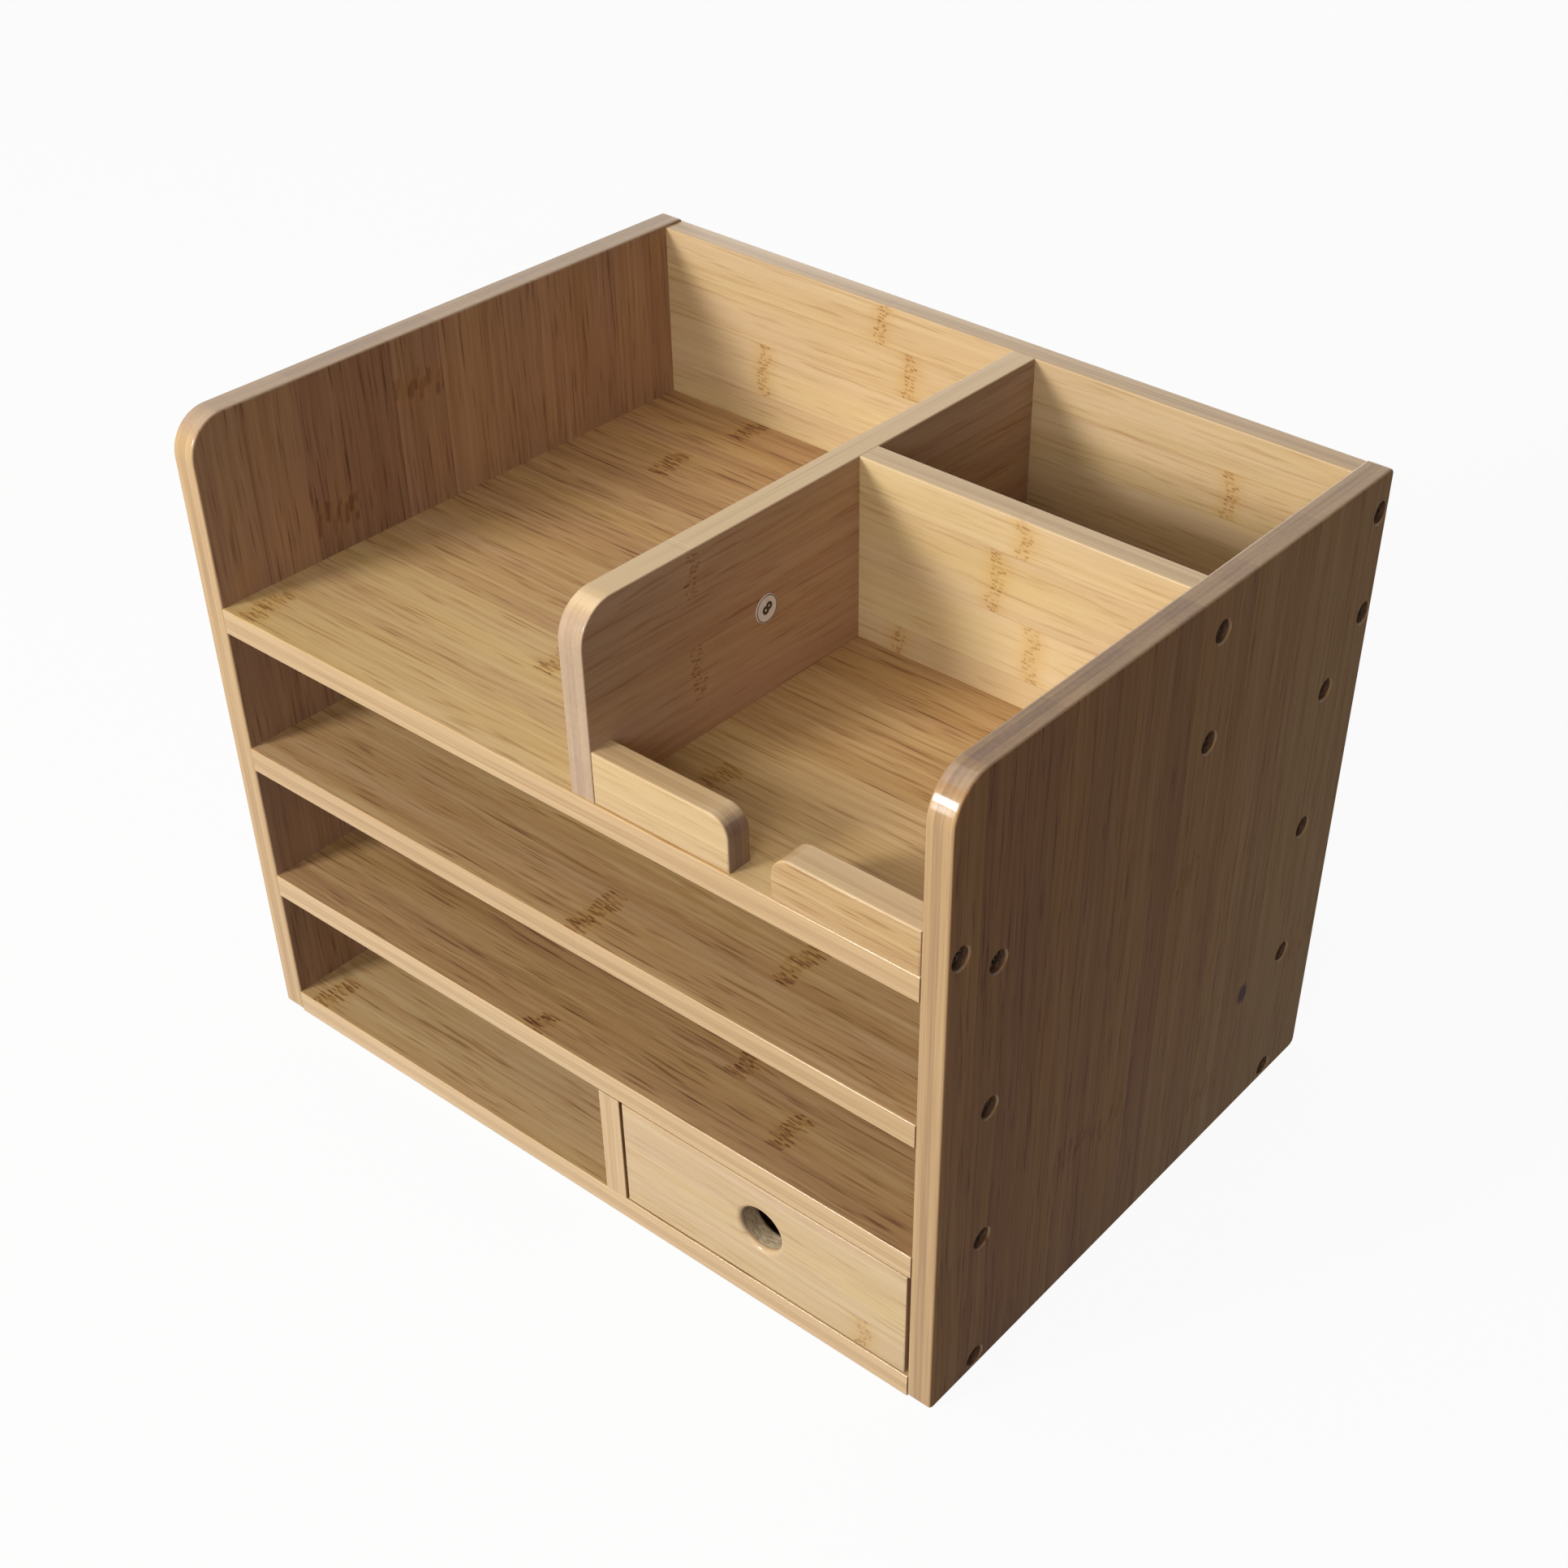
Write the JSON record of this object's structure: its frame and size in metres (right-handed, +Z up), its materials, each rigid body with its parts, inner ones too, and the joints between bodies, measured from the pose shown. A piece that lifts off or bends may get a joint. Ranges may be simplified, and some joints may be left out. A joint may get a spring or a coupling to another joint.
{
  "type": "desk organizer",
  "caption": "Bamboo desk organizer with open letter bays, divided open compartments on top and a small drawer with a round finger hole.",
  "frame": {"origin": "centre of the footprint, on the surface that the organizer stands on", "axes": "+Z up; the front, where the drawer pulls out, faces -Y; +X to the right seen from the front, towards the drawer"},
  "size_m": [0.33, 0.24, 0.257],
  "materials": {
    "bamboo_panel": "satin lacquer",
    "bamboo_board": "satin lacquer",
    "drawer_wood": "sanded bamboo",
    "screw_steel": "dark zinc",
    "brad_steel": "plain",
    "beech_dowel": "plain",
    "sticker_film": "matt"
  },
  "bodies": {
    "carcass": {"side_panel_left": "bamboo_panel", "side_panel_right": "bamboo_panel", "base_board": "bamboo_board", "lower_shelf": "bamboo_board", "upper_shelf": "bamboo_board", "top_deck": "bamboo_board", "back_board": "bamboo_board", "cross_divider": "bamboo_board", "top_divider": "bamboo_board", "lower_divider": "bamboo_board", "stop_left": "bamboo_board", "stop_right": "bamboo_board", "drawer_stop_strip": "drawer_wood", "side_screws_left": "screw_steel", "side_screws_right": "screw_steel", "divider_screws": "screw_steel", "back_screws": "screw_steel", "deck_screws": "screw_steel", "base_screws": "screw_steel", "divider_dowels": "beech_dowel", "stop_dowels": "beech_dowel", "strip_brads": "brad_steel", "panel_sticker": "sticker_film"},
    "drawer": {"drawer_front": "bamboo_board", "drawer_side_left": "drawer_wood", "drawer_side_right": "drawer_wood", "drawer_back": "drawer_wood", "drawer_bottom": "drawer_wood", "drawer_brads": "brad_steel"}
  },
  "joints": [
    {"name": "drawer_slide", "type": "slide", "parent": "carcass", "child": "drawer", "axis": [0, -1, 0], "range_m": [0, 0.19]}
  ]
}
